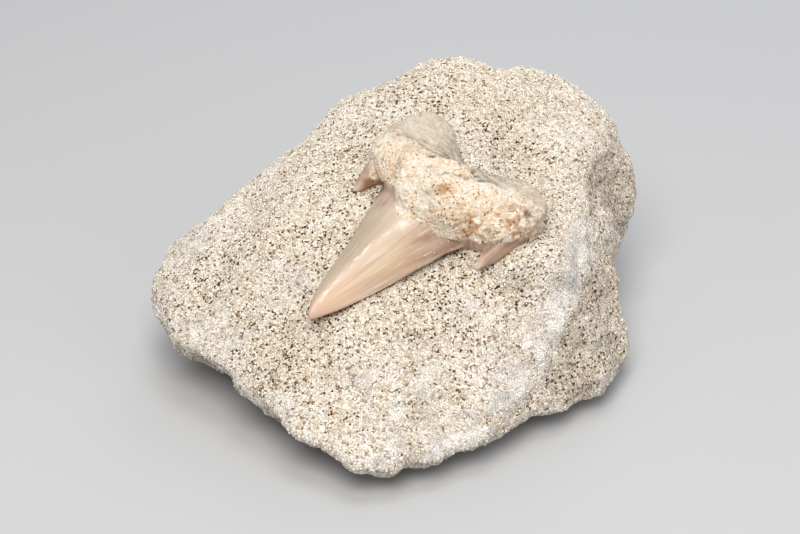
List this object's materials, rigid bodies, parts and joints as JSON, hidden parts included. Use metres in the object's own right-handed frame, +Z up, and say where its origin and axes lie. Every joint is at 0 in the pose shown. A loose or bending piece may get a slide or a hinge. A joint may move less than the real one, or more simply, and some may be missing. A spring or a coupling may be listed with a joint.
{
  "type": "fossil shark tooth in rock",
  "caption": "Pointed fossil shark tooth with a lobed root and small side cusps, half buried in a loose wedge of sandy rock that rests on a flat underside.",
  "frame": {"origin": "middle of the rock's outline, on the surface that it rests on", "axes": "+Z up, +X along the rock's longest extent, the front that shows the tooth's tip towards -Y"},
  "size_m": [0.0862, 0.0822, 0.042],
  "materials": {
    "sandy_rock": "matte",
    "fossil_tooth": "satin"
  },
  "bodies": {
    "root": {"rock": "sandy_rock", "tooth": "fossil_tooth"}
  },
  "joints": []
}
